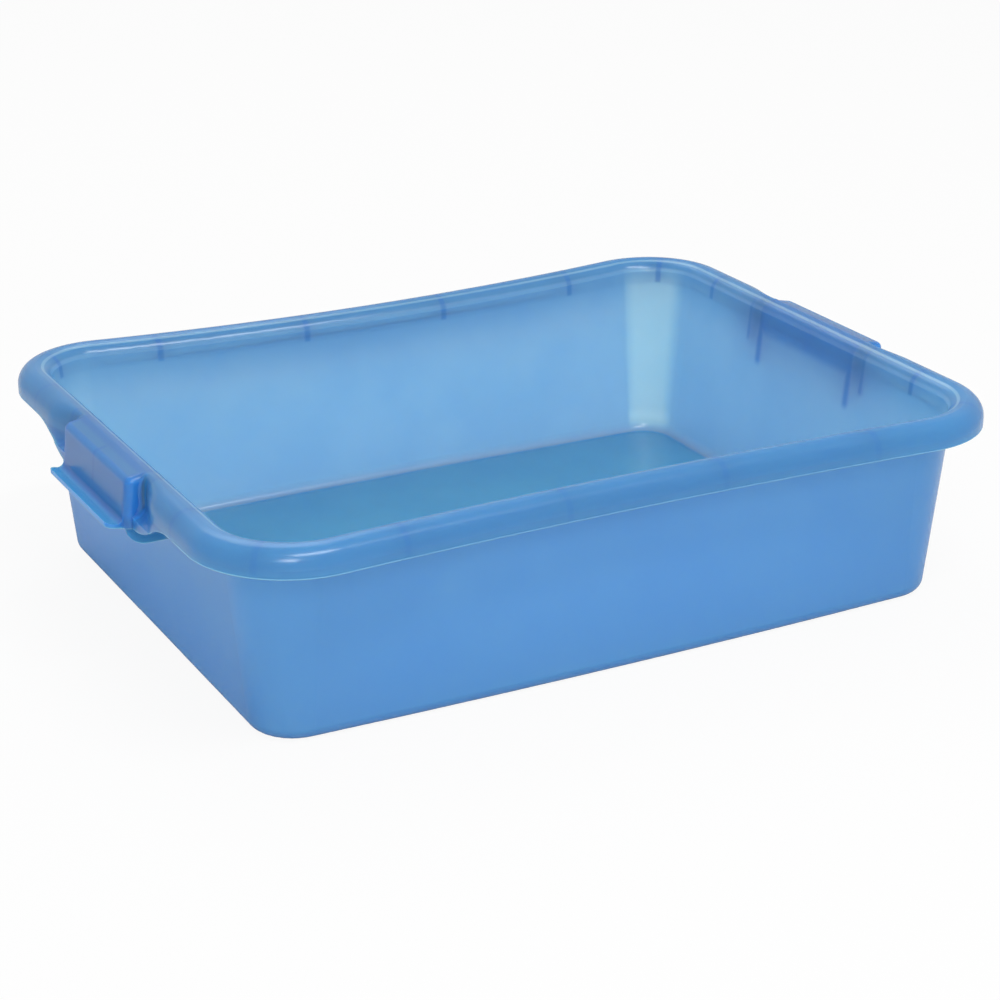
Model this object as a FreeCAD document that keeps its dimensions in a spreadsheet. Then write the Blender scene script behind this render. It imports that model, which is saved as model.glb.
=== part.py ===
"""Food storage box: one moulding with tapered walls, a rolled rim and two end handles.

Millimetres, +Z up, +X along the length. The origin is the centre of the box's underside.
The handle at +X is modelled, and the one at -X is its mirror image.
"""
import FreeCAD, Part
import math
import os
import Sketcher

NODE = "storage_box"
FOOT_STEPS = 4
NECK_CORNER = (0.0, 0.02, 0.05, 0.1)
NECK_FADE = (0.1, 0.25, 0.4, 0.55, 0.7, 0.85, 1.0)

# Driving sizes: alias, value, what it is
SIZES = [
    ("rim_length", 514.0, "length over the rim, without the handles"),
    ("rim_width", 397.0, "width over the rim at its corners"),
    ("box_height", 127.0, "height to the crest of the rim at the ends"),
    ("rim_corner", 59.0, "plan radius of the rim's corners"),
    ("rim_ledge", 22.0, "rim's outer face to the inner face of the wall"),
    ("roll_radius", 11.2, "outer radius of the rolled rim"),
    ("leg_lean", 0.4, "how far the rim's inner leg leans inward at its foot"),
    ("rim_drop", 15.9, "crest of the rim to the lower edge of its skirt"),
    ("leg_drop", 17.0, "crest of the rim to where its inner leg ends in the wall"),
    ("side_bow", 10.0, "how far the long sides of the rim bow inward"),
    ("side_sag", 2.9, "how far the long sides of the rim sag"),
    ("skin", 2.8, "thickness of walls, rim and handles"),
    ("floor_skin", 3.0, "thickness of the floor"),
    ("end_lean", 11.8, "how far a short wall leans out from the underside to the rim"),
    ("side_lean", 11.4, "how far a long wall leans out from the underside to the rim"),
    ("base_corner", 27.5, "plan radius of the underside's corners"),
    ("base_bulge", 3.6, "how far the long sides of the underside bulge outward"),
    ("base_round", 8.0, "outer radius between wall and underside"),
    ("floor_round", 7.0, "inner radius between wall and floor"),
    ("rib_skin", 2.0, "thickness of the ribs in the rim's channel"),
    ("rib_pitch", 102.0, "distance between ribs along a long side"),
    ("end_rib_gap", 3.0, "outer ribs of a short side to the end of the handle's stretch"),
    ("grip_rib_depth", 21.5, "lower edge of the rib inside the grip, below the crest"),
    ("rib_lift", 0.8, "ribs end this far above the skirt's lower edge"),
    ("corner_run", 21.5, "straight rim between a corner and the stretch that carries the handle"),
    ("grip_half", 54.0, "half width of the handle's grip"),
    ("grip_reach", 2.0, "grip's top edge beyond the rim's outer face"),
    ("grip_flare", 3.0, "grip's outer face leans out by this much at its foot"),
    ("grip_slope", 2.7, "fall of the grip's flat top, from the crest to its edge"),
    ("grip_corner", 5.0, "plan radius of the grip's upright corners"),
    ("grip_edge", 4.0, "radius along the grip's top edge"),
    ("lip_depth", 29.0, "crest of the rim to the top of the lip at its root"),
    ("lip_reach", 9.0, "lip beyond the grip's foot"),
    ("lip_rise", 1.5, "upturn of the lip at its outer edge"),
    ("lip_half", 51.0, "half length of the lip"),
    ("lip_round", 4.0, "hollow radius at the lip's root"),
    ("lip_corner", 5.0, "plan radius of the lip's corners"),
    ("sweep_gap", 6.0, "end of the handle's stretch to where the skirt begins to deepen"),
    ("cheek_skin", 2.5, "thickness of the two walls that close the finger gap"),
    ("cheek_depth", 43.0, "lower edge of those walls at the box wall, below the crest"),
    ("cheek_round", 13.0, "radius of that lower edge near the grip"),
    ("gusset_place", 65.0, "gussets beside the handle, from the middle"),
    ("gusset_depth", 32.5, "lower edge of the gussets at the box wall, below the crest"),
    ("neck_depth", 7.8, "depth of the neck beside the grip, behind the rim's outer face"),
    ("neck_length", 36.0, "length of the neck, from the grip to where it fades out"),
    ("ledge_depth", 23.0, "ledge at the neck's foot, below the crest"),
    ("neck_corner", 3.5, "radius between the neck and the grip's side"),
    ("ledge_round", 6.0, "height of the curve from the ledge up to the neck"),
    ("ledge_fall", 2.0, "fall of the ledge towards the rim's face"),
    ("overrun", 5.0, "how far a cut runs past what it cuts"),
    ("seat", 1.0, "how far a plate or wall runs into the skin that it joins"),
]


class Size:
    """A length with its value and the spreadsheet expression that it comes from."""

    def __init__(self, value, text):
        self.value = value
        self.text = text

    @staticmethod
    def of(item):
        return item if isinstance(item, Size) else Size(float(item), repr(float(item)))

    def join(self, other, sign, value):
        return Size(value, f"({self.text} {sign} {other.text})")

    def __add__(self, other):
        other = Size.of(other)
        return self.join(other, "+", self.value + other.value)

    def __sub__(self, other):
        other = Size.of(other)
        return self.join(other, "-", self.value - other.value)

    def __mul__(self, other):
        other = Size.of(other)
        return self.join(other, "*", self.value * other.value)

    def __truediv__(self, other):
        other = Size.of(other)
        return self.join(other, "/", self.value / other.value)

    def __neg__(self):
        return Size(-self.value, f"(-1 * {self.text})")

    def __rsub__(self, other):
        return Size.of(other) - self

    __radd__ = __add__
    __rmul__ = __mul__


def make_sheet(doc):
    """Fill the spreadsheet and return each size under its alias."""
    sheet = doc.addObject("Spreadsheet::Sheet", "Sizes")
    sizes = {}
    for row, (alias, value, meaning) in enumerate(SIZES, start=1):
        sheet.set(f"A{row}", meaning)
        sheet.set(f"B{row}", str(value))
        sheet.setAlias(f"B{row}", alias)
        sizes[alias] = Size(value, f"Sizes.{alias}")
    doc.recompute()
    sizes["end_zone"] = sizes["rim_width"] / 2 - sizes["rim_corner"] - sizes["corner_run"]
    return sizes


class Plan:
    """Plan outline with straight short sides, round corners and bowed long sides."""

    def __init__(self, length, width, corner, bow):
        self.half_x = length / 2
        self.half_y = width / 2
        self.corner = corner
        self.reach = self.half_x - corner
        slope = bow / self.reach
        ring = 1 + slope * slope
        self.sine = 2 * slope / ring
        self.cosine = (1 - slope * slope) / ring
        self.inward = bow.value > 0

    def quarter(self, inset):
        """Corner points at +X +Y, and both radii, of the outline moved inward by inset."""
        radius = self.corner - inset
        rise = self.half_y - self.corner
        first = (self.half_x - inset, rise)
        second = (self.reach - radius * self.sine, rise + radius * self.cosine)
        if self.inward:
            side_radius = self.reach / self.sine - radius
        else:
            side_radius = radius - self.reach / self.sine
        return first, second, radius, side_radius

    def draw(self, sketch, inset):
        (ax, ay), (bx, by), radius, side_radius = self.quarter(inset)
        corners = [(ax, ay), (bx, by), (-bx, by), (-ax, ay), (-ax, -ay), (-bx, -by), (bx, -by), (ax, -ay)]
        side = (side_radius, not self.inward)
        turns = {0: (radius, True), 1: side, 2: (radius, True), 4: (radius, True), 5: side, 6: (radius, True)}
        draw_outline(sketch, corners, turns)


def origin_plane(body, role):
    return next(item for item in body.Origin.OriginFeatures if item.Role == role)


def new_body(doc, name):
    body = doc.addObject("PartDesign::Body", name)
    body.AllowCompound = True
    return body


def new_sketch(body, name, role, offset=None):
    """Empty sketch on one of the body's own planes, moved along its normal by offset."""
    sketch = body.newObject("Sketcher::SketchObject", name)
    sketch.AttachmentSupport = [(origin_plane(body, role), "")]
    sketch.MapMode = "FlatFace"
    if offset is not None:
        sketch.AttachmentOffset = FreeCAD.Placement(FreeCAD.Vector(0, 0, offset.value), FreeCAD.Rotation())
        sketch.setExpression(".AttachmentOffset.Base.z", offset.text)
    return sketch


def arc_between(start, end, radius, left):
    """Arc under half a turn from start to end that turns left or right."""
    chord = end - start
    middle = (start + end) / 2
    rise = math.sqrt(max(radius * radius - chord.Length ** 2 / 4, 0.0))
    normal = FreeCAD.Vector(-chord.y, chord.x, 0).normalize()
    centre = middle + normal * (rise if left else -rise)
    first, last = (start, end) if left else (end, start)
    angles = [math.atan2(point.y - centre.y, point.x - centre.x) for point in (first, last)]
    if angles[1] < angles[0]:
        angles[1] += 2 * math.pi
    circle = Part.Circle(centre, FreeCAD.Vector(0, 0, 1), radius)
    return Part.ArcOfCircle(circle, angles[0], angles[1])


def draw_outline(sketch, corners, turns):
    """Closed outline through the corners; turns gives the side's radius and whether it turns left."""
    points = [FreeCAD.Vector(x.value, y.value, 0) for x, y in corners]
    count = len(points)
    begins = []
    ends = []
    for index in range(count):
        start, end = points[index], points[(index + 1) % count]
        if index in turns:
            radius, left = turns[index]
            number = sketch.addGeometry(arc_between(start, end, radius.value, left))
            bind(sketch, Sketcher.Constraint("Radius", number, radius.value), radius)
        else:
            left = True
            number = sketch.addGeometry(Part.LineSegment(start, end))
        begins.append((number, 1 if left else 2))
        ends.append((number, 2 if left else 1))
    for index in range(count):
        sketch.addConstraint(Sketcher.Constraint("Coincident", *ends[index - 1], *begins[index]))
    for index, place in enumerate(corners):
        for kind, distance in zip(("DistanceX", "DistanceY"), place):
            bind(sketch, Sketcher.Constraint(kind, -1, 1, *begins[index], distance.value), distance)


def bind(sketch, constraint, size):
    number = sketch.addConstraint(constraint)
    sketch.setExpression(f"Constraints[{number}]", size.text)


def loft(body, kind, name, sketches):
    feature = body.newObject(kind, name)
    feature.Profile = sketches[0]
    feature.Sections = sketches[1:]
    feature.Ruled = True
    return feature


def pad(body, name, sketch, length):
    """Pad by length, half of it to each side of the sketch."""
    feature = body.newObject("PartDesign::Pad", name)
    feature.Profile = sketch
    feature.setExpression("Length", length.text)
    feature.SideType = "Symmetric"
    return feature


def fillet(body, name, radius, choose):
    """Round the edges of the body's present shape that the test picks out."""
    body.Document.recompute()
    base = body.Tip
    edges = [f"Edge{number}" for number, edge in enumerate(base.Shape.Edges, start=1) if choose(edge)]
    if not edges:
        raise RuntimeError(f"no edges for {name}")
    feature = body.newObject("PartDesign::Fillet", name)
    feature.Base = (base, edges)
    feature.setExpression("Radius", radius.text)
    return feature


def wall_slope(size):
    """How far a wall's face moves outward for each millimetre up, at a short side."""
    return size["end_lean"] / (size["box_height"] - size["roll_radius"])


def wall_plan(size, level):
    """Plan of the wall's outer face at a level: it goes evenly from the underside to the rim."""
    slope = wall_slope(size)
    rim_level = size["box_height"] - size["roll_radius"]
    inset = size["rim_ledge"] - size["skin"]
    share = level / rim_level

    def between(base, rim):
        return base + (rim - base) * share

    length = size["rim_length"] - 2 * inset - 2 * size["end_lean"] * (1 - share)
    width = size["rim_width"] - 2 * inset - 2 * size["side_lean"] * (1 - share)
    corner = between(size["base_corner"], size["rim_corner"] - inset)
    bow = between(-size["base_bulge"], size["side_bow"] - size["side_sag"] * slope)
    return Plan(length, width, corner, bow)


def wall_form(doc, size, name, inset, foot, rounding, mouth):
    """Solid between the walls: a rounded foot, then straight walls up to the mouth.

    The foot's sections follow a quarter round that ends square to the leaning wall.
    """
    body = new_body(doc, name)
    lean = math.atan(wall_slope(size).value)
    sketches = []
    for step in range(FOOT_STEPS + 1):
        angle = math.pi / 2 - (math.pi / 2 - lean) * step / FOOT_STEPS
        level = foot + rounding * (1 - math.sin(angle))
        edge = rounding * (math.cos(angle) - 1 / math.cos(lean)) + wall_slope(size) * rounding * math.sin(angle)
        sketch = new_sketch(body, f"{name}_foot_{step}", "XY_Plane", level)
        wall_plan(size, level).draw(sketch, inset - edge)
        sketches.append(sketch)
    smooth = loft(body, "PartDesign::AdditiveLoft", f"{name}_foot", sketches)
    smooth.Ruled = False
    high = new_sketch(body, f"{name}_mouth", "XY_Plane", mouth)
    wall_plan(size, mouth).draw(high, inset)
    loft(body, "PartDesign::AdditiveLoft", f"{name}_walls", [sketches[-1], high])
    return body


def combine(doc, kind, name, items):
    """Fuse the items, keep what two of them share, or cut the second from the first."""
    if kind in ("cut", "common"):
        result = doc.addObject(f"Part::{kind.title()}", name)
        result.Base, result.Tool = items
    else:
        result = doc.addObject("Part::MultiFuse", name)
        result.Shapes = items
    return result


def mirror(doc, name, source, normal):
    """Mirror image across the plane through the origin that has this normal."""
    result = doc.addObject("Part::Mirroring", name)
    result.Source = source
    result.Normal = FreeCAD.Vector(*normal)
    return result


def rim_path(doc, size):
    """Path of the crest from the end zone at +X round the +Y side to the end zone at -X.

    The short sides are level and straight. Each corner is an arc in a slightly tilted plane and the
    long side one arc that bows inward and sags, and all of them run on tangent to each other.
    """
    height = size["box_height"].value
    reach = size["rim_length"].value / 2 - size["rim_corner"].value
    rise = size["rim_width"].value / 2 - size["rim_corner"].value
    radius = size["rim_corner"].value - size["roll_radius"].value
    turn = 2 * math.atan(size["side_bow"].value / reach)
    side_half = reach - radius * math.sin(turn)
    fall = size["side_sag"].value / (radius * (1 + math.sin(turn)) + side_half / 2)
    tilt = math.atan(fall)

    def corner_point(angle):
        across = radius * math.cos(angle) - radius
        return FreeCAD.Vector(
            reach + radius + across * math.cos(tilt),
            rise + radius * math.sin(angle),
            height + across * math.sin(tilt),
        )

    start = FreeCAD.Vector(reach + radius, size["end_zone"].value, height)
    leave = corner_point(0)
    middle = corner_point((math.pi / 2 + turn) / 2)
    knee = corner_point(math.pi / 2 + turn)
    heading = FreeCAD.Vector(-math.cos(turn) * math.cos(tilt), -math.sin(turn), -math.cos(turn) * math.sin(tilt))
    sideways = FreeCAD.Vector(0, heading.y, heading.z).normalize()
    bend = math.acos(-heading.x)
    dip = knee.x / math.sin(bend) * (1 - math.cos(bend))
    lowest = FreeCAD.Vector(0, knee.y, knee.z) + sideways * dip

    def flip(point):
        return FreeCAD.Vector(-point.x, point.y, point.z)

    edges = [
        Part.LineSegment(start, leave).toShape(),
        Part.Arc(leave, middle, knee).toShape(),
        Part.Arc(knee, lowest, flip(knee)).toShape(),
        Part.Arc(flip(knee), flip(middle), flip(leave)).toShape(),
        Part.LineSegment(flip(leave), flip(start)).toShape(),
    ]
    path = doc.addObject("Part::Feature", "rim_path")
    path.Shape = Part.Wire(edges)
    guide = doc.addObject("Part::Feature", "rim_guide")
    guide.Shape = path.Shape.translated(FreeCAD.Vector(0, 0, height))
    return path, guide


def roll_section(size):
    """Section of the rolled rim as a hook: corners and turns, with X outward and Z up."""
    face = size["rim_length"] / 2
    top = size["box_height"]
    radius = size["roll_radius"]
    skin = size["skin"]
    hollow = radius - skin
    centre = face - radius
    foot = top - size["leg_drop"]
    corners = [
        (face, top - size["rim_drop"]),
        (face, top - radius),
        (centre, top),
        (centre - radius, top - radius),
        (centre - radius - size["leg_lean"], foot),
        (centre - hollow - 2 * size["leg_lean"], foot),
        (centre - hollow, top - radius),
        (centre, top - skin),
        (face - skin, top - radius),
        (face - skin, top - size["rim_drop"]),
    ]
    turns = {1: (radius, True), 2: (radius, True), 6: (hollow, False), 7: (hollow, False)}
    return corners, turns


def roll_fill(size, shift, low):
    """Section that fills the channel to the middle of its skin, down to a level, shifted along X."""
    radius = size["roll_radius"] - size["skin"] / 2
    centre = size["rim_length"] / 2 - size["roll_radius"] + shift
    top = size["box_height"] - size["skin"] / 2
    inner = centre - size["rim_ledge"]
    corners = [
        (centre + radius, low),
        (centre + radius, top - radius),
        (centre, top),
        (centre - radius, top - radius),
        (inner, top - radius),
        (inner, low),
    ]
    return corners, {1: (radius, True), 2: (radius, True)}


def make_rim(doc, size):
    """Rolled rim along the +Y side, from handle to handle, with the ribs in its channel."""
    path, guide = rim_path(doc, size)
    body = new_body(doc, "rim_roll")
    sketch = new_sketch(body, "rim_section", "XZ_Plane", -size["end_zone"])
    draw_outline(sketch, *roll_section(size))
    pipe = body.newObject("PartDesign::AdditivePipe", "rim_sweep")
    edges = [f"Edge{number}" for number in range(1, len(path.Shape.Edges) + 1)]
    pipe.Profile = sketch
    pipe.Spine = (path, edges)
    pipe.AuxiliarySpine = (guide, edges)
    pipe.AuxiliaryCurvilinear = True
    pipe.Mode = "Auxiliary"
    return combine(doc, "fuse", "rim_side", [body] + side_ribs(doc, size, path.Shape))


def side_ribs(doc, size, path):
    """Ribs across the channel: evenly along the long side, and one in each corner."""
    pitch = size["rib_pitch"].value
    side = path.Edges[2]
    places = []
    for across in (-1.5 * pitch, -0.5 * pitch, 0.5 * pitch, 1.5 * pitch):
        near = FreeCAD.Vector(across, side.Vertexes[0].Y, side.Vertexes[0].Z)
        places.append((side, side.Curve.parameter(near)))
    for corner in (path.Edges[1], path.Edges[3]):
        places.append((corner, (corner.FirstParameter + corner.LastParameter) / 2))
    ribs = []
    for number, (edge, parameter) in enumerate(places, start=1):
        rib = new_body(doc, f"side_rib_{number}")
        sketch = new_sketch(rib, f"side_rib_section_{number}", "XZ_Plane")
        crest = size["rim_length"] / 2 - size["roll_radius"]
        draw_outline(sketch, *roll_fill(size, -crest, size["box_height"] - size["rim_drop"] + size["rib_lift"]))
        pad(rib, f"side_rib_pad_{number}", sketch, size["rib_skin"])
        heading = edge.tangentAt(parameter)
        turn = math.degrees(math.atan2(-heading.x, heading.y))
        place = edge.valueAt(parameter)
        place.z -= size["box_height"].value
        rib.Placement = FreeCAD.Placement(place, FreeCAD.Rotation(FreeCAD.Vector(0, 0, 1), turn))
        ribs.append(rib)
    return ribs


def end_levels(size):
    """Lines of the handle that several of its pieces share."""
    face = size["rim_length"] / 2
    top = size["box_height"]
    foot = top - size["lip_depth"] - size["skin"]
    return {
        "face": face,
        "top": top,
        "centre": face - size["roll_radius"],
        "foot": foot,
        "shoulder": face + size["grip_reach"],
        "shoulder_level": top - size["grip_slope"],
        "heel": face + size["grip_reach"] + size["grip_flare"],
    }


def skirt_sweep(size):
    """S-shaped lower edge of the skirt for y > 0: corners and turns in the Y-Z plane."""
    foot = end_levels(size)["foot"]
    edge = size["box_height"] - size["rim_drop"]
    start = size["end_zone"] - size["sweep_gap"]
    half_run = (start - size["grip_half"]) / 2
    half_fall = (edge - foot) / 2
    radius = (half_run * half_run + half_fall * half_fall) / (2 * half_fall)
    below = foot - size["overrun"]
    beyond = size["end_zone"] + size["overrun"]
    corners = [
        (start, edge),
        (start - half_run, edge - half_fall),
        (size["grip_half"], foot),
        (size["grip_half"], below),
        (beyond, below),
        (beyond, edge),
    ]
    return corners, {0: (radius, True), 1: (radius, False)}, radius


def curve_between(start, corner, end):
    """Quarter of an ellipse from start to end, tangent there to the lines to the corner."""
    curve = Part.BSplineCurve()
    weights = [1.0, math.sqrt(0.5), 1.0]
    curve.buildFromPolesMultsKnots([start, corner, end], [3, 3], [0.0, 1.0], False, 2, weights)
    return curve.toShape()


def neck_section(size, across, recess, inset, inner):
    """Section of the rim beside the grip, its outer side moved inward by recess above the ledge.

    The ledge and the top are quarters of ellipses. inset moves the whole section under the skin, and
    inner gives the corners that close it on the side of the box, from the roll downward.
    """
    line = {name: value.value for name, value in end_levels(size).items()}
    radius = size["roll_radius"].value
    face = line["face"] - inset
    ledge = line["top"] - size["ledge_depth"].value - inset
    ledge_top = ledge + size["ledge_round"].value
    ledge_edge = ledge - size["ledge_fall"].value
    shoulder = line["top"] - radius
    crest = line["top"] - inset
    inside = line["centre"] - radius + inset

    def at(x, z):
        return FreeCAD.Vector(x, across, z)

    corners = [at(inside, shoulder)] + [at(x, z) for x, z in inner] + [at(face, inner[-1][1]), at(face, ledge_edge)]
    edges = [Part.LineSegment(start, end).toShape() for start, end in zip(corners, corners[1:])]
    edges.append(curve_between(at(face, ledge_edge), at(face - recess, ledge), at(face - recess, ledge_top)))
    edges.append(Part.LineSegment(at(face - recess, ledge_top), at(face - recess, shoulder)).toShape())
    edges.append(curve_between(at(face - recess, shoulder), at(face - recess, crest), at(line["centre"], crest)))
    edges.append(curve_between(at(line["centre"], crest), at(inside, crest), at(inside, shoulder)))
    return Part.Wire(edges)


def neck_recess(size, share):
    """How far the neck lies behind the rim's face, at a share of its length from the grip."""
    rounding = max(1 - share * size["neck_length"].value / size["neck_corner"].value, 0.0)
    corner = size["neck_corner"].value * (1 - math.sqrt(1 - rounding * rounding))
    depth = size["neck_depth"].value * (1 - share * share * (3 - 2 * share))
    return depth - corner


def neck_form(doc, size, name, inset, inner):
    """Solid of the rim's section over the whole end zone, with a hollow neck at each side of the grip."""
    start = size["grip_half"].value

    def section(share):
        across = start + size["neck_length"].value * share
        return neck_section(size, across, neck_recess(size, share), inset, inner)

    last = neck_section(size, size["end_zone"].value + size["seat"].value * bool(inset), 0.0, inset, inner)
    corner = Part.makeLoft([section(share) for share in NECK_CORNER], True, True)
    fade = Part.makeLoft([section(share) for share in NECK_FADE], True, False)
    level = Part.makeLoft([section(NECK_FADE[-1]), last], True, True)
    middle = Part.Face(section(0.0)).extrude(FreeCAD.Vector(0, -2 * start, 0))
    pieces = [corner, fade, level]
    pieces += [piece.mirror(FreeCAD.Vector(), FreeCAD.Vector(0, 1, 0)) for piece in pieces]
    form = doc.addObject("Part::Feature", name)
    form.Shape = middle.fuse(pieces)
    return form


def skirt_cut(doc, size):
    """Space below the skirt's lower edge at both sides of the grip."""
    body = new_body(doc, "skirt_cut")
    sketch = new_sketch(body, "skirt_sweep", "YZ_Plane")
    corners, turns, _ = skirt_sweep(size)
    draw_outline(sketch, corners, turns)
    mirrored = {side: (turn, not left) for side, (turn, left) in turns.items()}
    draw_outline(sketch, [(-y, z) for y, z in corners], mirrored)
    pad(body, "skirt_cut_pad", sketch, size["rim_length"] + 2 * size["overrun"])
    return body


def end_band(doc, size, line):
    """Outer form of the rim where it carries the handle, solid, with the skirt that sweeps down."""
    inner = line["centre"] - size["roll_radius"] - size["leg_lean"]
    corners = [(inner, line["top"] - size["leg_drop"]), (inner, line["foot"])]
    form = neck_form(doc, size, "end_form_solid", 0.0, [(x.value, z.value) for x, z in corners])
    return combine(doc, "cut", "end_band", [form, skirt_cut(doc, size)])


def grip_block(doc, size, line):
    """Grip: flat sloping top, leaning outer face and rounded upright corners."""
    body = new_body(doc, "grip_block")
    sketch = new_sketch(body, "grip_section", "XZ_Plane")
    corners = [
        (line["heel"], line["foot"]),
        (line["shoulder"], line["shoulder_level"]),
        (line["centre"], line["top"]),
        (line["centre"], line["foot"]),
    ]
    draw_outline(sketch, corners, {})
    pad(body, "grip_pad", sketch, size["grip_half"] * 2)
    half = size["grip_half"].value
    shoulder = line["shoulder"].value

    def upright(edge):
        box = edge.BoundBox
        return box.XMin > shoulder - 1 and box.YLength < 0.01 and abs(abs(box.YMin) - half) < 0.01

    fillet(body, "grip_corners", size["grip_corner"], upright)
    level = line["shoulder_level"].value

    def along_top(edge):
        box = edge.BoundBox
        return box.ZMax > level - 0.5 and box.ZMin > level - 1 and box.XMin > line["centre"].value + 1

    fillet(body, "grip_edges", size["grip_edge"], along_top)
    return body


def grip_lip(doc, size, line):
    """Flared lip along the grip's foot, hollow at its root and turned up at its edge."""
    body = new_body(doc, "grip_lip")
    sketch = new_sketch(body, "lip_section", "XZ_Plane")
    slope = size["grip_flare"] / (size["lip_depth"] + size["skin"] - size["grip_slope"])
    root = line["heel"] - size["skin"] * slope
    upper = line["heel"] - (size["skin"] + size["lip_round"]) * slope
    tip = line["heel"] + size["lip_reach"]
    level = line["foot"] + size["skin"]
    hollow = size["lip_round"]
    inner = root - size["grip_corner"] / 2
    corners = [
        (inner, line["foot"]),
        (root, line["foot"]),
        (tip, line["foot"] + size["lip_rise"]),
        (tip, level + size["lip_rise"]),
        (root + hollow, level),
        (upper, level + hollow),
        (inner, level + hollow),
    ]
    draw_outline(sketch, corners, {4: (hollow, False)})
    pad(body, "lip_pad", sketch, size["lip_half"] * 2)
    edge_x = tip.value
    fillet(body, "lip_corners", size["lip_corner"], lambda edge: outer_upright(edge, edge_x))
    return body


def outer_upright(edge, edge_x):
    box = edge.BoundBox
    return box.XLength < 0.01 and box.YLength < 0.01 and abs(box.XMax - edge_x) < 0.01


def end_space(doc, size, line):
    """Space under the rim and inside the grip, open below."""
    skin = size["skin"]
    low = line["foot"] - size["overrun"]
    inner = line["centre"] - size["rim_ledge"]
    foot = line["centre"] - size["roll_radius"] + skin - 2 * size["leg_lean"]
    leg = line["top"] - size["leg_drop"]
    corners = [(foot, leg), (inner, leg), (inner, low)]
    channel = neck_form(doc, size, "channel", skin.value, [(x.value, z.value) for x, z in corners])
    body = new_body(doc, "grip_space")
    inside = new_sketch(body, "grip_space_section", "XZ_Plane")
    corners = [
        (line["heel"] - skin, low),
        (line["heel"] - skin, line["foot"]),
        (line["shoulder"] - skin, line["shoulder_level"] - skin),
        (line["centre"], line["top"] - skin),
        (line["centre"], low),
    ]
    draw_outline(inside, corners, {})
    pad(body, "grip_space_pad", inside, (size["grip_half"] - skin) * 2)
    return combine(doc, "fuse", "finger_space", [channel, body])


def end_plates(doc, size, line):
    """Walls that close the finger gap, gussets beside them and ribs, all across the channel."""
    skin = size["skin"]
    top = line["top"]
    inner = line["centre"] - size["rim_ledge"]
    radius = size["roll_radius"] - skin / 2
    roll = [(line["centre"], top - skin / 2), (line["centre"] - radius, top - size["roll_radius"])]
    cheek_low = top - size["cheek_depth"]
    toe = line["heel"] - skin / 2
    cheek = [
        (inner, cheek_low),
        (toe - size["cheek_round"], cheek_low),
        (toe, cheek_low + size["cheek_round"]),
        (line["shoulder"] - skin / 2, line["shoulder_level"] - skin / 2),
        *roll,
        (inner, roll[1][1]),
    ]
    cheek_turns = {1: (size["cheek_round"], True), 4: (radius, True)}
    rib_low = top - size["grip_rib_depth"]
    grip_rib = [
        (inner, rib_low),
        (line["shoulder"] - skin / 2, rib_low),
        (line["shoulder"] - skin / 2, line["shoulder_level"] - skin / 2),
        *roll,
        (inner, roll[1][1]),
    ]
    cheek_place = size["grip_half"] - skin - size["cheek_skin"] / 2 + size["seat"]
    half_run = size["gusset_place"] - size["grip_half"]
    sweep_radius = skirt_sweep(size)[2]
    gusset_edge = line["foot"] + half_run * half_run / (2 * sweep_radius) + size["rib_lift"]
    gusset = [
        (line["face"], gusset_edge),
        (line["face"], top),
        (inner, top),
        (inner, top - size["gusset_depth"]),
        (line["centre"] - size["roll_radius"], top - size["gusset_depth"]),
    ]
    rib = roll_fill(size, Size.of(0), top - size["rim_drop"] + size["rib_lift"])
    end_rib = size["end_zone"] - size["end_rib_gap"]
    plates = [
        ("cheek", (cheek, cheek_turns), [cheek_place, -cheek_place], size["cheek_skin"]),
        ("gusset", (gusset, {}), [size["gusset_place"], -size["gusset_place"]], size["rib_skin"]),
        ("end_rib", rib, [end_rib, -end_rib], size["rib_skin"]),
        ("grip_rib", (grip_rib, {3: (radius, True)}), [Size.of(0)], size["rib_skin"]),
    ]
    bodies = []
    for name, (corners, turns), places, thickness in plates:
        body = new_body(doc, name)
        for number, place in enumerate(places, start=1):
            sketch = new_sketch(body, f"{name}_section_{number}", "XZ_Plane", place)
            draw_outline(sketch, corners, turns)
            pad(body, f"{name}_pad_{number}", sketch, thickness)
        bodies.append(body)
    corners = [(inner, top - size["roll_radius"]), (inner, line["foot"] - size["overrun"])]
    fill = neck_form(doc, size, "channel_fill", skin.value / 2, [(x.value, z.value) for x, z in corners])
    bodies[1] = combine(doc, "common", "gussets_trimmed", [bodies[1], fill])
    return bodies


def make_end(doc, size):
    """Rim, grip and lip at +X over the whole end zone."""
    line = end_levels(size)
    pieces = [end_band(doc, size, line), grip_block(doc, size, line), grip_lip(doc, size, line)]
    form = combine(doc, "fuse", "end_form", pieces)
    shell = combine(doc, "cut", "end_shell", [form, end_space(doc, size, line)])
    return combine(doc, "fuse", "end_piece", [shell] + end_plates(doc, size, line))


def main():
    doc = FreeCAD.newDocument("FoodStorageBox")
    size = make_sheet(doc)
    none = Size.of(0)
    wall_top = size["box_height"] - size["leg_drop"] + 2 * size["seat"]
    mouth = size["box_height"] + size["overrun"]
    tub = wall_form(doc, size, "tub", none, none, size["base_round"], wall_top)
    cavity = wall_form(doc, size, "cavity", size["skin"], size["floor_skin"], size["floor_round"], mouth)
    rim = make_rim(doc, size)
    end = make_end(doc, size)
    pieces = [
        tub,
        rim,
        mirror(doc, "rim_other_side", rim, (0, 1, 0)),
        end,
        mirror(doc, "other_end", end, (1, 0, 0)),
    ]
    solid = combine(doc, "fuse", "moulding", pieces)
    box = combine(doc, "cut", NODE, [solid, cavity])
    box.Label = NODE
    box.Placement = FreeCAD.Placement()
    doc.recompute()
    write(doc, [box])


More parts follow.
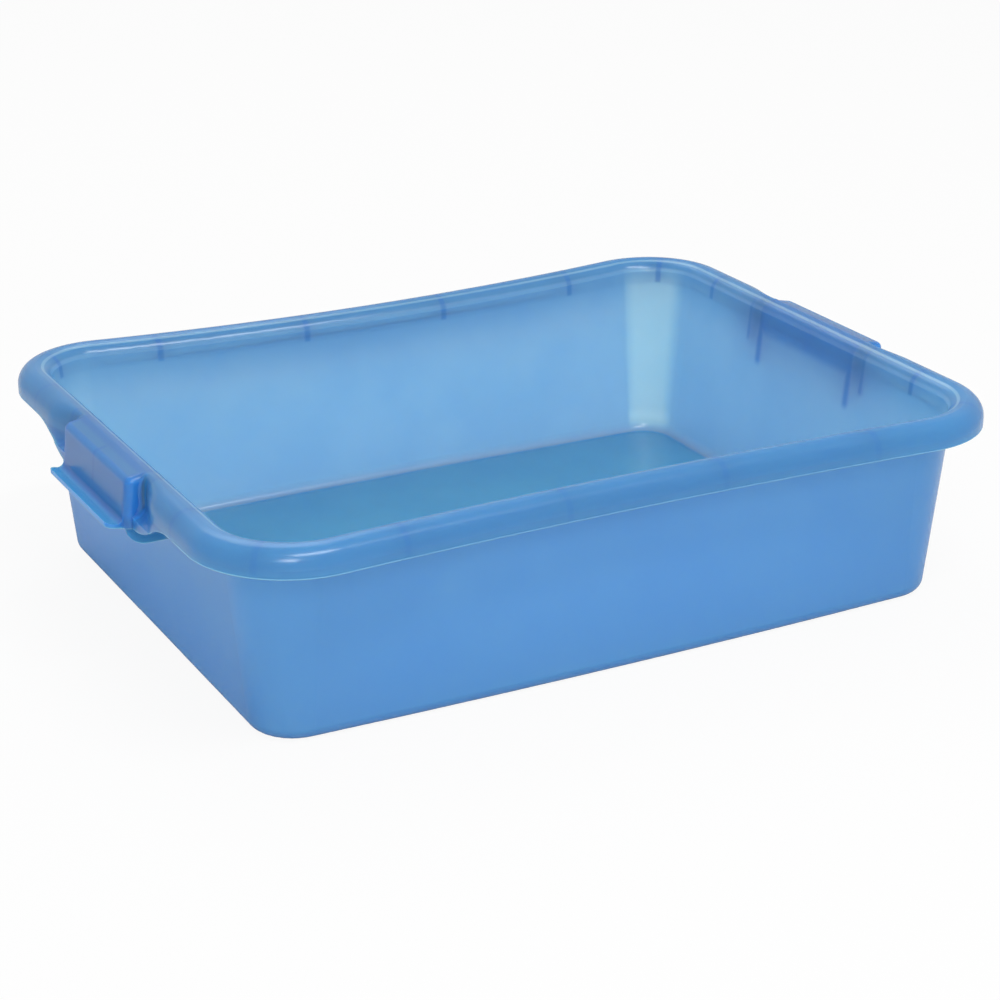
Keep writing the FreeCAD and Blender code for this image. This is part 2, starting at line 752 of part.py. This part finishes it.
def write(doc, parts):
    """Check every object of the document, then write each sub-part."""
    for item in doc.Objects:
        if "Invalid" in item.State or "Error" in item.State:
            raise RuntimeError(f"{item.Name} failed: {item.State}")
    for part in parts:
        shape = part.Shape
        if shape.isNull() or not shape.isValid() or len(shape.Solids) != 1:
            raise RuntimeError(f"{part.Label} is not one valid solid")
    os.makedirs("parts", exist_ok=True)
    for part in parts:
        part.Shape.exportStep(f"parts/{part.Label}.step")
        box = part.Shape.optimalBoundingBox()
        print(part.Label, round(part.Shape.Volume / 1000, 1), "cm3", box)


main()
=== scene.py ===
"""Food storage box of translucent blue plastic on a white table, seen from above its long side."""

import math

import bpy
from mathutils import Matrix, Vector


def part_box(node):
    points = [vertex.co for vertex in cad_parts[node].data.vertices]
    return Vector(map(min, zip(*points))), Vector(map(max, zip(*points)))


bl_info = {
    "name": "Food Storage Box",
    "version": (1, 0, 0),
    "blender": (4, 5, 0),
    "location": "3D View > Sidebar > Storage Box",
    "description": "Dresses a moulded food storage box in translucent plastic and sets up its studio",
    "category": "Object",
}

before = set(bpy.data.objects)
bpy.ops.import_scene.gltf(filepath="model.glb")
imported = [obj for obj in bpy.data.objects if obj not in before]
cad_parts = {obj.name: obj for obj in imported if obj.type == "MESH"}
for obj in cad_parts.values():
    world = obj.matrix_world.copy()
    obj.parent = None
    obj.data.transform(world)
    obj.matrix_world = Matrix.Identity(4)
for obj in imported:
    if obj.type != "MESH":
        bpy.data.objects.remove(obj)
BOX_NODE = "storage_box"
BOX_LOW, BOX_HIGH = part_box(BOX_NODE)
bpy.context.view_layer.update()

# Lines of the box in metres, for the colours that follow its form
ROLL_LEVEL = 0.1158
FOOT_HALF = (0.2246, 0.1665)
RIM_HALF = (0.2364, 0.1779)
FOOT_CORNER = 0.0261
RIM_CORNER = 0.0384
FOOT_BOW = -0.0036
RIM_BOW = 0.0097
FOOT_ROUND = 0.0075
FLOOR_MIDDLE = 0.0015
SKIRT_LEVEL = 0.1111
CREST_LINE = 0.0094
CREST_HALF = 0.2458
RIM_KNEE = 0.193
RIM_FALL = 0.0195
GRIP_HALF = 0.0512
GRIP_FOOT = 0.104
NECK_SIDE = 0.059
CHEEK_LINE = 0.051
CHEEK_FOOT = 0.081
GUSSET_LINE = 0.065
GUSSET_FOOT = 0.095
CORNER_CENTRE = (0.198, 0.1395)
CORNER_RIB_TURN = math.radians(48.0)
SIDE_RIBS = (0.051, 0.153)
END_RIB = 0.115

# Stretches in metres over which a colour comes in or goes: start and end
SKIN_FACES = (-0.0008, 0.0008)
FLOOR_TOP = (0.0030, 0.0037)
UPPER_WALL = (0.090, 0.122)
RIM_START = (SKIRT_LEVEL - 0.001, SKIRT_LEVEL + 0.0015)
RIM_OUTWARD = (-0.003, 0.0075)
RIM_FACE = (0.014, 0.018)
RIM_LOWER = (0.112, 0.124)
GRIP_FACE = (0.0185, 0.0200)
GRIP_SIDE = (GRIP_HALF + 0.001, GRIP_HALF + 0.004)
OUTSIDE_WALL = (0.003, 0.005)
HANDLE_BOTTOM = (0.078, 0.082)
HOLLOW_OUTWARD = (0.2455, 0.2480)
HOLLOW_FOOT = (0.098, 0.104)
HOLLOW_TOP = (0.122, 0.126)
EDGE_OUTWARD = (0.010, 0.014)
EDGE_SIDE = (0.108, 0.116)
HIGHLIGHT_LEVEL = (0.121, 0.123)
RIB_START = (SKIRT_LEVEL, SKIRT_LEVEL + 0.002)
RIB_FADE = (0.004, 0.010)
RIB_CORNER = (0.0, 0.01)
LONG_SIDE = (0.15, 0.16)
SHORT_SIDE = (0.21, 0.22)
CHEEK_START = (CHEEK_FOOT, CHEEK_FOOT + 0.006)
GUSSET_START = (GUSSET_FOOT, GUSSET_FOOT + 0.004)
GRIP_RIB_START = (GRIP_FOOT, GRIP_FOOT + 0.003)
GRIP_SHADE_SIDE = (GRIP_HALF - 0.001, GRIP_HALF + 0.001)
GRIP_SHADE_START = (GRIP_FOOT - 0.002, GRIP_FOOT + 0.006)
GRIP_SHADE_DEPTH = (0.012, 0.016)
BETWEEN_START = (0.098, 0.112)
END_WALL = (0.215, 0.222)
# Where the painted corner glow comes in and fades
GLOW_INWARD = (0.0, 0.004)
GLOW_FOOT = (0.002, 0.014)
GLOW_TOP = (0.108, 0.118)
GLOW_ALONG = (-0.1, 0.1)

# Lines: half width and soft edge in metres, with the line's middle before them where it is fixed
RIB_LINE = (0.0008, 0.0022)
HOLLOW_LINE = ((GRIP_HALF + NECK_SIDE) / 2, 0.0025, 0.0030)
HIGHLIGHT_LINE = (CREST_LINE - 0.0047, 0.0004, 0.0010)
SKIRT_EDGE = (SKIRT_LEVEL, 0.0006, 0.0012)
CHEEK_SHADE = (CHEEK_LINE, 0.0004, 0.0045)
GUSSET_SHADE = (GUSSET_LINE, 0.0006, 0.0022)
GRIP_RIB_SHADE = (0.0, 0.0006, 0.0022)
BETWEEN_SHADE = ((CHEEK_LINE + GUSSET_LINE) / 2, 0.006, 0.002)
# Painted glint at the foot of the inner corner, then the turn over which the painted corner glow spreads
GLINT = (0.012, 0.001, 0.008)
GLOW_TURN = (math.radians(54.0), math.radians(18.0), math.radians(24.0))

# Shares of a colour, from 0 to 1
UPPER_SHARE = 0.7
RIM_LOWER_SHARE = 0.6
HOLLOW_SHARE = 0.85
EDGE_SHARE = 0.7
RIB_FADE_SHARE = 0.6
THIN_SHARE = 0.6
BETWEEN_SHARE = 0.4
GLOW_TOP_SHARE = 0.6
GLOW_LEFT_SHARE = 0.15

# Surface and body of the plastic
CLOUD_RANGE = (0.3, 0.7)
CLOUD_DETAIL = 3.0
CLOUD_ROUGHNESS = 0.05
GRAIN_DETAIL = 2.0
GRAIN_STRENGTH = 0.05
GRAIN_DEPTH = 0.0002
NOISE_WAVE = 0.5
PLASTIC_INDEX = 1.49
SCATTER_REACH = 0.03
SCATTER_COLOURS = (0.45, 0.75, 0.88)

# Studio: each softbox has azimuth and elevation in degrees, distance, size and power in watts
SOFTBOXES = {
    "softbox_key": (-26.0, 36.0, 2.2, (0.5, 0.5), 9.0),
    "softbox_top": (10.0, 63.0, 2.0, (1.2, 0.25), 14.0),
    "softbox_back": (171.0, 52.0, 2.2, (1.2, 1.2), 7.5),
}
SENSOR_WIDTH = 36.0
FARTHEST_SEEN = 50.0
TABLE_HALF = 6.0
TABLE_WHITE = (0.76, 0.76, 0.76, 1.0)
TABLE_GLOW_SHARE = 0.92
WHITE = (1.0, 1.0, 1.0, 1.0)

# Sockets that Blender's nodes have no single name for
OBJECT_PLACE = 3
MIX_SHARE, MIX_FIRST, MIX_SECOND, MIX_RESULT = 0, 6, 7, 2


class Shade:
    """A shader socket that takes part in Python expressions; each operation adds its Math node."""

    def __init__(self, nodes, socket):
        self.nodes = nodes
        self.socket = socket

    def math(self, operation, *values):
        return self.nodes.add("ShaderNodeMath", {"operation": operation}, [self, *values])

    def __add__(self, other):
        return self.math("ADD", other)

    def __sub__(self, other):
        return self.math("SUBTRACT", other)

    def __rsub__(self, other):
        return self.nodes.add("ShaderNodeMath", {"operation": "SUBTRACT"}, [other, self])

    def __mul__(self, other):
        return self.math("MULTIPLY", other)

    def __truediv__(self, other):
        return self.math("DIVIDE", other)

    __radd__ = __add__
    __rmul__ = __mul__

    def size(self):
        return self.math("ABSOLUTE")

    def root(self):
        return self.math("SQRT")

    def least(self, other):
        return self.math("MINIMUM", other)

    def most(self, other):
        return self.math("MAXIMUM", other)

    def rise(self, start, end):
        """0 below start, 1 above end, and smooth between them."""
        settings = {"interpolation_type": "SMOOTHSTEP"}
        inputs = {"Value": self, "From Min": start, "From Max": end}
        return self.nodes.add("ShaderNodeMapRange", settings, inputs)

    def band(self, centre, half, soft):
        """1 within half of the centre, falling to 0 over the soft distance."""
        return 1 - (self - centre).size().rise(half, half + soft)


class Nodes:
    """Node tree of one material, with one method that adds any node."""

    def __init__(self, name, tree_owner=None):
        self.owner = tree_owner or bpy.data.materials.new(name)
        self.owner.use_nodes = True
        self.tree = self.owner.node_tree
        self.tree.nodes.clear()

    def add(self, kind, settings=None, inputs=None, output=0):
        """Add a node, its settings first, then the values or links of its sockets."""
        node = self.tree.nodes.new(kind)
        for name, value in (settings or {}).items():
            setattr(node, name, value)
        pairs = inputs.items() if isinstance(inputs, dict) else enumerate(inputs or [])
        for key, value in pairs:
            self.put(node.inputs[key], value)
        return Shade(self, node.outputs[output])

    def put(self, socket, value):
        if isinstance(value, Shade):
            self.tree.links.new(value.socket, socket)
        else:
            socket.default_value = value

    def mix(self, share, first, second):
        """Colour between first and second."""
        sockets = {MIX_SHARE: share, MIX_FIRST: first, MIX_SECOND: second}
        return self.add("ShaderNodeMix", {"data_type": "RGBA"}, sockets, output=MIX_RESULT)

    def noise(self, where, size, detail):
        """Soft noise whose features have this size in metres."""
        inputs = {"Vector": where, "Scale": NOISE_WAVE / size, "Detail": detail}
        return self.add("ShaderNodeTexNoise", inputs=inputs)

    def place(self):
        """Object coordinates, together and as three values, in metres."""
        where = self.add("ShaderNodeTexCoord", output=OBJECT_PLACE)
        split = self.add("ShaderNodeSeparateXYZ", inputs=[where])
        axes = split.socket.node.outputs
        return where, Shade(self, axes[0]), Shade(self, axes[1]), Shade(self, axes[2])

    def finish(self, shader):
        self.add_output("ShaderNodeOutputMaterial", shader)
        return self.owner

    def add_output(self, kind, shader):
        node = self.tree.nodes.new(kind)
        self.tree.links.new(shader.socket, node.inputs["Surface"])


def colour(name, text, value):
    return bpy.props.FloatVectorProperty(
        name=name, description=text, default=value, size=4, subtype="COLOR", min=0.0, max=1.0
    )


def distance(name, text, value):
    return bpy.props.FloatProperty(
        name=name, description=text, default=value, unit="LENGTH", subtype="DISTANCE"
    )


def number(name, text, value, low=0.0, high=1.0):
    return bpy.props.FloatProperty(name=name, description=text, default=value, min=low, max=high)


class PlasticSettings(bpy.types.PropertyGroup):
    """Colours and surface of the box's plastic."""

    wall: colour("Wall", "Outer face of the walls", (0.076, 0.216, 0.460, 1.0))
    # Painted light: the inner faces are paler because the light coming through the walls is painted into
    # their colour
    inner: colour("Inner", "Inner face of the walls, paler than the outer", (0.232, 0.372, 0.660, 1.0))
    upper: colour("Upper", "Top of the inner faces, in the shade of the rim", (0.105, 0.300, 0.660, 1.0))
    # Painted light: the floor is a stronger blue to make up for its shade where it sits on the table
    floor: colour("Floor", "Upper face of the floor", (0.095, 0.360, 1.000, 1.0))
    rim: colour("Rim", "Rolled rim, where the light crosses more plastic", (0.052, 0.205, 0.500, 1.0))
    rim_foot: colour("Rim Foot", "Lower part of the rim's outer face", (0.070, 0.270, 0.680, 1.0))
    # Painted shade: the saturated blue that the hollows beside the grips show in their shade
    hollow: colour("Hollow", "Hollows beside the grips", (0.035, 0.260, 0.980, 1.0))
    # Partly painted shade: the handles' deeper blue is partly the doubled plastic and partly the shade under
    # the rim
    handle: colour("Handle", "Face and lip of the handles", (0.036, 0.188, 0.560, 1.0))
    # Deep colour of thick plastic, also used for the painted shade over the grip and between the cheeks
    deep_and_shade: colour("Deep", "Where the plastic is thickest", (0.022, 0.140, 0.520, 1.0))
    # Colour of the painted light: corner glow, glint and highlight line
    pale: colour("Pale", "Where light gathers", (0.440, 0.680, 0.950, 1.0))
    rib_strength: number("Rib Strength", "How clearly the ribs show through the rim", 0.42)
    # line_strength also sets the painted shade over the grip and between the cheeks
    line_strength: number("Line Strength", "How clearly the handle's walls show through", 0.5)
    # Strength of the painted corner glow
    painted_glow: number("Corner Glow", "How pale the inner corners are", 0.65)
    # Strength of the painted highlight line along the rim's inner edge
    edge: number("Edge Line", "How pale the line along the rim's inner edge is", 0.3)
    cloud: distance("Cloud", "Size of the plastic's faint clouds", 0.03)
    cloud_strength: number("Cloud Strength", "How clearly the clouds show", 0.10)
    roughness: number("Roughness", "How matt the surface is", 0.20)
    grain: distance("Grain", "Size of the surface's fine grain", 0.0006)


class StudioSettings(bpy.types.PropertyGroup):
    """Camera and surround."""

    eye: bpy.props.FloatVectorProperty(
        name="Eye",
        description="Place of the camera",
        default=(-0.67506, -1.27791, 0.62719),
        subtype="XYZ",
        unit="LENGTH",
    )
    lens: number("Lens", "Focal length in millimetres", 88.674, 20.0, 200.0)
    azimuth: number("Azimuth", "Where the camera looks from, in degrees round the box", -28.04, -180.0, 180.0)
    elevation: number("Elevation", "Camera's angle above the table, in degrees", 21.95, 0.0, 90.0)
    surround: number("Surround", "Brightness of the white surround", 0.62, 0.0, 5.0)


def camera_axes(azimuth, elevation):
    """Right, up and backward directions of a level camera that looks from that angle."""
    turn, tilt = math.radians(azimuth), math.radians(elevation)
    back = Vector((math.sin(turn) * math.cos(tilt), -math.cos(turn) * math.cos(tilt), math.sin(tilt)))
    right = Vector((math.cos(turn), math.sin(turn), 0.0))
    return right, back.cross(right), back


def stand(item, place, axes):
    """Put a new camera or lamp at a place, turned to its axes."""
    turn = Matrix(axes).transposed()
    item.matrix_world = Matrix.Translation(place) @ turn.to_4x4()
    bpy.context.scene.collection.objects.link(item)


def place_camera(settings):
    camera = bpy.data.objects.new("camera", bpy.data.cameras.new("camera"))
    stand(camera, settings.eye, camera_axes(settings.azimuth, settings.elevation))
    camera.data.lens = settings.lens
    camera.data.sensor_width = SENSOR_WIDTH
    camera.data.clip_end = FARTHEST_SEEN
    bpy.context.scene.camera = camera


def place_softbox(name, azimuth, elevation, away, size, power):
    """Softbox of a width and height that looks at the box from an angle round it."""
    data = bpy.data.lights.new(name, "AREA")
    data.shape = "RECTANGLE"
    data.size, data.size_y = size
    data.energy = power
    axes = camera_axes(azimuth, elevation)
    target = (BOX_LOW + BOX_HIGH) / 2
    stand(bpy.data.objects.new(name, data), target + axes[2] * away, axes)


def seen_directly(nodes):
    """1 for rays from the camera."""
    return nodes.add("ShaderNodeLightPath")


def table_material():
    nodes = Nodes("white_table")
    matt = nodes.add("ShaderNodeBsdfDiffuse", inputs={"Color": TABLE_WHITE})
    white = nodes.add("ShaderNodeEmission", inputs={"Color": WHITE, "Strength": 1.0})
    share = seen_directly(nodes) * TABLE_GLOW_SHARE
    return nodes.finish(nodes.add("ShaderNodeMixShader", inputs=[share, matt, white]))


def make_table():
    size = TABLE_HALF
    mesh = bpy.data.meshes.new("table")
    corners = [(-size, -size, 0.0), (size, -size, 0.0), (size, size, 0.0), (-size, size, 0.0)]
    mesh.from_pydata(corners, [], [(0, 1, 2, 3)])
    mesh.materials.append(table_material())
    table = bpy.data.objects.new("table", mesh)
    bpy.context.scene.collection.objects.link(table)


def make_surround(strength):
    world = bpy.data.worlds.new("surround")
    bpy.context.scene.world = world
    nodes = Nodes("surround", world)
    lit = nodes.add("ShaderNodeBackground", inputs={"Color": WHITE, "Strength": strength})
    white = nodes.add("ShaderNodeBackground", inputs={"Color": WHITE, "Strength": 1.0})
    light = nodes.add("ShaderNodeMixShader", inputs=[seen_directly(nodes), lit, white])
    nodes.add_output("ShaderNodeOutputWorld", light)


def rounded(across, along, radius):
    """Distance from a corner of this radius, where across and along are the distances from its sides."""
    out_x = (across + radius).most(0.0)
    out_y = (along + radius).most(0.0)
    beyond = (out_x * out_x + out_y * out_y).root()
    return beyond + (across + radius).most(along + radius).least(0.0) - radius


def skin_distance(x, y, z):
    """Distance from the middle of the skin of the leaning, bowed walls and the floor, below 0 inside."""
    share = z.least(ROLL_LEVEL) / ROLL_LEVEL
    half_x = share * (RIM_HALF[0] - FOOT_HALF[0]) + FOOT_HALF[0]
    corner = share * (RIM_CORNER - FOOT_CORNER) + FOOT_CORNER
    reach = x / CORNER_CENTRE[0]
    bow = (share * (RIM_BOW - FOOT_BOW) + FOOT_BOW) * (1 - reach * reach).most(0.0)
    half_y = share * (RIM_HALF[1] - FOOT_HALF[1]) + FOOT_HALF[1] - bow
    wall = rounded(x.size() - half_x, y.size() - half_y, corner)
    return rounded(wall, FLOOR_MIDDLE - z, FOOT_ROUND)


def rim_level(x, z):
    """Height as it would be if the rim ran level: its long sides sag towards the middle."""
    short = (RIM_KNEE - x.size()).most(0.0)
    fall = (CREST_HALF - x.size()).most(0.0) - short * short / (2 * RIM_KNEE)
    return z + fall * RIM_FALL


class Form:
    """Where a point lies on the box, in metres, and how far it belongs to the inside or the rim."""

    def __init__(self, nodes):
        self.where, self.x, y, self.z = nodes.place()
        self.along, self.across = self.x.size(), y.size()
        self.depth = skin_distance(self.x, y, self.z)
        self.level = rim_level(self.x, self.z)
        self.inside = 1 - self.depth.rise(*SKIN_FACES)
        self.rim = self.level.rise(*RIM_START) * self.depth.rise(*RIM_OUTWARD)


def rib_lines(form):
    """1 on the lines where the channel's ribs show through the rim."""
    out_x, out_y = form.along - CORNER_CENTRE[0], form.across - CORNER_CENTRE[1]
    on_side = form.along.band(SIDE_RIBS[0], *RIB_LINE).most(form.along.band(SIDE_RIBS[1], *RIB_LINE))
    on_side = on_side * form.across.rise(*LONG_SIDE)
    on_end = form.across.band(END_RIB, *RIB_LINE) * form.along.rise(*SHORT_SIDE)
    turned = out_x * math.sin(CORNER_RIB_TURN) - out_y * math.cos(CORNER_RIB_TURN)
    on_corner = turned.band(0.0, *RIB_LINE) * out_x.rise(*RIB_CORNER) * out_y.rise(*RIB_CORNER)
    ribs = on_side.most(on_end).most(on_corner) * form.level.rise(*RIB_START)
    return ribs * (1 - form.depth.rise(*RIB_FADE) * RIB_FADE_SHARE)


def neck_hollow(form):
    """1 in the narrow hollows between the grip's sides and the necks of the rim."""
    hollow = form.across.band(*HOLLOW_LINE) * form.along.rise(*HOLLOW_OUTWARD)
    return hollow * form.z.rise(*HOLLOW_FOOT) * (1 - form.z.rise(*HOLLOW_TOP))


def handle_parts(form):
    """1 on the face of the grip and on what stands outside the wall below the rim."""
    face = form.depth.rise(*GRIP_FACE) * (1 - form.across.rise(*GRIP_SIDE))
    below = form.depth.rise(*OUTSIDE_WALL) * (1 - form.rim)
    return below.most(face) * form.z.rise(*HANDLE_BOTTOM)


def handle_lines(form):
    """1 where the walls of the finger gap, the gussets and the grip's rib show through the skin, with painted
    shade over the grip and between the cheeks and the gussets.
    """
    across, z = form.across, form.z
    cheek = across.band(*CHEEK_SHADE) * z.rise(*CHEEK_START)
    gusset = across.band(*GUSSET_SHADE) * z.rise(*GUSSET_START)
    middle = across.band(*GRIP_RIB_SHADE) * z.rise(*GRIP_RIB_START)
    # Painted shade where the grip blocks the light, and between the cheeks and the gussets
    grip = (1 - across.rise(*GRIP_SHADE_SIDE)) * z.rise(*GRIP_SHADE_START)
    between = across.band(*BETWEEN_SHADE) * z.rise(*BETWEEN_START)
    lines = cheek.most(gusset * THIN_SHARE).most(between * BETWEEN_SHARE).most(middle * THIN_SHARE)
    grip = grip * (1 - form.depth.rise(*GRIP_SHADE_DEPTH))
    return lines.most(grip) * form.along.rise(*END_WALL)


def painted_corner_glow(form):
    """1 in the middle of an upright inner corner, where a painted glow stands for the light gathering from
    both walls; less at -X.
    """
    out_x, out_y = form.along - CORNER_CENTRE[0], form.across - CORNER_CENTRE[1]
    turn = out_y.math("ARCTAN2", out_x)
    painted_glow = turn.band(*GLOW_TURN) * out_x.rise(*GLOW_INWARD)
    painted_glow = painted_glow * form.inside * form.z.rise(*GLOW_FOOT) * (1 - form.z.rise(*GLOW_TOP) * GLOW_TOP_SHARE)
    return painted_glow * (form.x.rise(*GLOW_ALONG) * (1 - GLOW_LEFT_SHARE) + GLOW_LEFT_SHARE)


def wall_colour(nodes, form, settings):
    """Walls and floor, with painted light in the inner corners and a painted glint at their foot."""
    # Inner faces painted paler for the light that comes through the walls
    base = nodes.mix(form.inside, settings.wall, settings.inner)
    base = nodes.mix(form.inside * form.level.rise(*UPPER_WALL) * UPPER_SHARE, base, settings.upper)
    # Floor painted a stronger blue against its shade on the table
    base = nodes.mix(form.inside * (1 - form.z.rise(*FLOOR_TOP)), base, settings.floor)
    painted_glow = painted_corner_glow(form)
    base = nodes.mix(painted_glow * settings.painted_glow, base, settings.pale)
    # Painted glint at the foot of the corner
    return nodes.mix(painted_glow * form.z.band(*GLINT) * settings.painted_glow, base, settings.pale)


def rim_colour(nodes, form, settings, base):
    """Rim and handles, over the colour of the walls, with painted shade on the handles and in the hollows
    beside the grips.
    """
    base = nodes.mix(form.rim, base, settings.rim)
    lower = form.depth.rise(*RIM_FACE) * form.rim * (1 - form.level.rise(*RIM_LOWER))
    base = nodes.mix(lower * RIM_LOWER_SHARE, base, settings.rim_foot)
    # Handles: doubled plastic with painted shade under the rim
    base = nodes.mix(handle_parts(form), base, settings.handle)
    # Painted shade in the hollows beside the grips
    return nodes.mix(neck_hollow(form) * HOLLOW_SHARE, base, settings.hollow)


def line_colour(nodes, form, settings, base):
    """Deep lines where plates stand behind the skin, painted shade over the grip, and a painted highlight
    line along the rim.
    """
    edge = form.depth.rise(*EDGE_OUTWARD) * form.level.band(*SKIRT_EDGE) * form.across.rise(*EDGE_SIDE)
    painted_highlight = form.depth.band(*HIGHLIGHT_LINE) * form.level.rise(*HIGHLIGHT_LEVEL)
    base = nodes.mix(edge * EDGE_SHARE, base, settings.deep_and_shade)
    base = nodes.mix(handle_lines(form) * settings.line_strength, base, settings.deep_and_shade)
    base = nodes.mix(rib_lines(form) * settings.rib_strength, base, settings.deep_and_shade)
    # Painted highlight along the rim's inner slope
    return nodes.mix(painted_highlight * settings.edge, base, settings.pale)


def box_material(settings):
    """Translucent plastic, deeper in the rim, deeper in the handles partly by painted shade, and paler on the
    inner faces by painted light coming through the walls.
    """
    nodes = Nodes("box_plastic")
    form = Form(nodes)
    base = wall_colour(nodes, form, settings)
    base = rim_colour(nodes, form, settings, base)
    base = line_colour(nodes, form, settings, base)
    clouds = nodes.noise(form.where, settings.cloud, CLOUD_DETAIL).rise(*CLOUD_RANGE)
    base = nodes.mix(clouds * settings.cloud_strength, base, settings.deep_and_shade)

    grain = nodes.noise(form.where, settings.grain, GRAIN_DETAIL)
    uneven = {"Strength": GRAIN_STRENGTH, "Distance": GRAIN_DEPTH, "Height": grain}
    plastic = nodes.add(
        "ShaderNodeBsdfPrincipled",
        {"subsurface_method": "RANDOM_WALK"},
        {
            "Base Color": base,
            "Roughness": clouds * CLOUD_ROUGHNESS + settings.roughness,
            "IOR": PLASTIC_INDEX,
            "Subsurface Weight": 1.0,
            "Subsurface Radius": SCATTER_COLOURS,
            "Subsurface Scale": SCATTER_REACH,
            "Normal": nodes.add("ShaderNodeBump", inputs=uneven),
        },
    )
    return nodes.finish(plastic)


class STORAGEBOX_OT_box(bpy.types.Operator):
    """Give the moulded box its translucent plastic"""

    bl_idname = "storagebox.box"
    bl_label = "Dress Box"

    def execute(self, context):
        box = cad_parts[BOX_NODE]
        box.data.materials.clear()
        box.data.materials.append(box_material(context.scene.storagebox_plastic))
        return {"FINISHED"}


class STORAGEBOX_OT_studio(bpy.types.Operator):
    """Set up the table, the surround, the lamps and the camera"""

    bl_idname = "storagebox.studio"
    bl_label = "Set Up Studio"

    def execute(self, context):
        settings = context.scene.storagebox_studio
        make_table()
        make_surround(settings.surround)
        for name, values in SOFTBOXES.items():
            place_softbox(name, *values)
        place_camera(settings)
        context.scene.view_settings.view_transform = "Standard"
        return {"FINISHED"}


class STORAGEBOX_PT_panel(bpy.types.Panel):
    """Sidebar panel with the box's settings and operators"""

    bl_idname = "STORAGEBOX_PT_panel"
    bl_label = "Storage Box"
    bl_space_type = "VIEW_3D"
    bl_region_type = "UI"
    bl_category = "Storage Box"

    def draw(self, context):
        layout = self.layout
        for group in (context.scene.storagebox_plastic, context.scene.storagebox_studio):
            for name in group.__annotations__:
                layout.prop(group, name)
        for operator in OPERATORS:
            layout.operator(operator.bl_idname)


OPERATORS = (STORAGEBOX_OT_box, STORAGEBOX_OT_studio)
CLASSES = (PlasticSettings, StudioSettings, *OPERATORS, STORAGEBOX_PT_panel)


def register():
    for item in CLASSES:
        bpy.utils.register_class(item)
    bpy.types.Scene.storagebox_plastic = bpy.props.PointerProperty(type=PlasticSettings)
    bpy.types.Scene.storagebox_studio = bpy.props.PointerProperty(type=StudioSettings)


def unregister():
    del bpy.types.Scene.storagebox_studio
    del bpy.types.Scene.storagebox_plastic
    for item in reversed(CLASSES):
        bpy.utils.unregister_class(item)


def main():
    register()
    bpy.ops.storagebox.box()
    bpy.ops.storagebox.studio()


if __name__ == "__main__":
    main()
